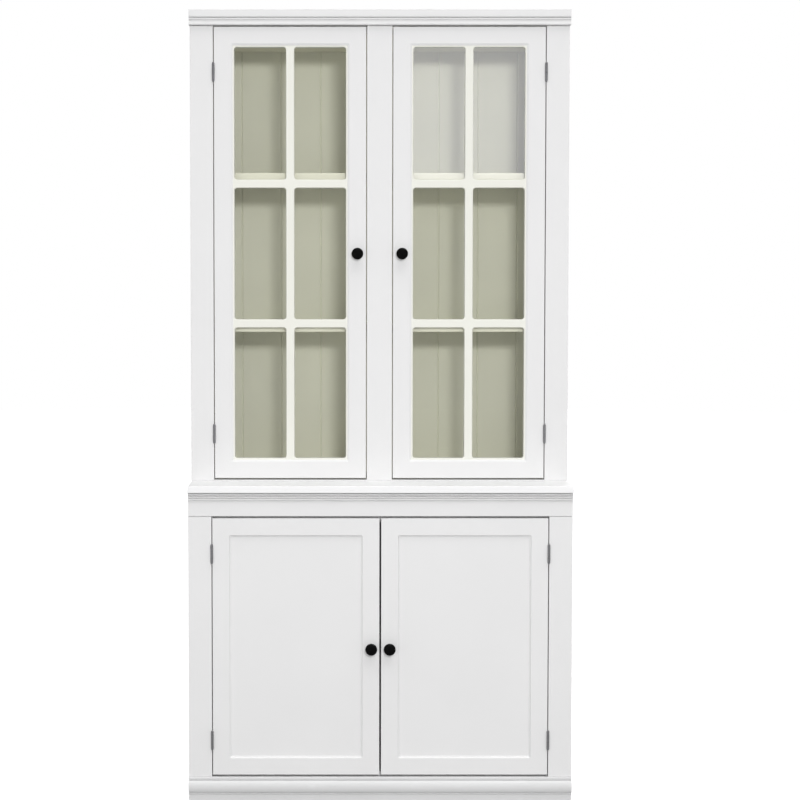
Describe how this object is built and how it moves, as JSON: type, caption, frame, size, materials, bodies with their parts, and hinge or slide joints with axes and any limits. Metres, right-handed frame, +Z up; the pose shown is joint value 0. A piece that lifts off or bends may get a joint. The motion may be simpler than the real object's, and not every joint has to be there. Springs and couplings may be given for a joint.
{
  "type": "china cabinet",
  "caption": "Painted two-part china cabinet: a hutch with glazed muntin doors over shelves, on a deeper base with panel doors and a moulded plinth.",
  "frame": {"origin": "on the floor, at the centre of the whole object's bounding box, knobs included", "axes": "+Z up, the front faces -Y, +X to the right seen from the front"},
  "size_m": [0.904, 0.428, 1.9],
  "materials": {
    "painted_wood": "satin white paint",
    "painted_interior": "satin off-white paint",
    "glass": "clear float glass",
    "black_knob": "satin black",
    "steel_hardware": "satin steel",
    "catch_plastic": "matte white plastic"
  },
  "bodies": {
    "cabinet": {"base_side_left": "painted_wood", "base_side_right": "painted_wood", "base_floor": "painted_wood", "base_back": "painted_wood", "base_stile_left": "painted_wood", "base_stile_right": "painted_wood", "base_frieze": "painted_wood", "base_door_stop": "painted_wood", "plinth": "painted_wood", "countertop": "painted_wood", "counter_moulding": "painted_wood", "base_shelf": "painted_wood", "shelf_pins": "steel_hardware", "hutch_side_left": "painted_wood", "hutch_side_right": "painted_wood", "hutch_floor": "painted_wood", "hutch_top": "painted_wood", "hutch_back_boards": "painted_interior", "hutch_stile_left": "painted_wood", "hutch_stile_right": "painted_wood", "hutch_mullion": "painted_wood", "hutch_shelf_upper": "painted_wood", "hutch_shelf_lower": "painted_wood", "cornice": "painted_wood", "frame_hinge_leaves": "steel_hardware", "frame_screws": "steel_hardware", "hinge_pins": "steel_hardware", "magnetic_catches": "catch_plastic"},
    "hutch_left_door": {"hutch_left_stiles": "painted_wood", "hutch_left_rails": "painted_wood", "hutch_left_muntins": "painted_wood", "hutch_left_panes": "glass", "hutch_left_glazing_beads": "painted_wood", "hutch_left_knob": "black_knob", "hutch_left_hinge_leaves": "steel_hardware", "hutch_left_screws": "steel_hardware", "hutch_left_strike_plate": "steel_hardware"},
    "hutch_right_door": {"hutch_right_stiles": "painted_wood", "hutch_right_rails": "painted_wood", "hutch_right_muntins": "painted_wood", "hutch_right_panes": "glass", "hutch_right_glazing_beads": "painted_wood", "hutch_right_knob": "black_knob", "hutch_right_hinge_leaves": "steel_hardware", "hutch_right_screws": "steel_hardware", "hutch_right_strike_plate": "steel_hardware"},
    "base_left_door": {"base_left_stiles": "painted_wood", "base_left_rails": "painted_wood", "base_left_panel": "painted_wood", "base_left_knob": "black_knob", "base_left_hinge_leaves": "steel_hardware", "base_left_screws": "steel_hardware", "base_left_strike_plate": "steel_hardware"},
    "base_right_door": {"base_right_stiles": "painted_wood", "base_right_rails": "painted_wood", "base_right_panel": "painted_wood", "base_right_knob": "black_knob", "base_right_hinge_leaves": "steel_hardware", "base_right_screws": "steel_hardware", "base_right_strike_plate": "steel_hardware"}
  },
  "joints": [
    {"name": "hutch_left_door_hinge", "type": "hinge", "parent": "cabinet", "child": "hutch_left_door", "pos_m": [-0.3945, -0.0994, 1.32425], "axis": [0, 0, -1], "range_deg": [0, 170]},
    {"name": "hutch_right_door_hinge", "type": "hinge", "parent": "cabinet", "child": "hutch_right_door", "pos_m": [0.3945, -0.0994, 1.32425], "axis": [0, 0, 1], "range_deg": [0, 170]},
    {"name": "base_left_door_hinge", "type": "hinge", "parent": "cabinet", "child": "base_left_door", "pos_m": [-0.3945, -0.1894, 0.4005], "axis": [0, 0, -1], "range_deg": [0, 170]},
    {"name": "base_right_door_hinge", "type": "hinge", "parent": "cabinet", "child": "base_right_door", "pos_m": [0.3945, -0.1894, 0.4005], "axis": [0, 0, 1], "range_deg": [0, 170]}
  ]
}
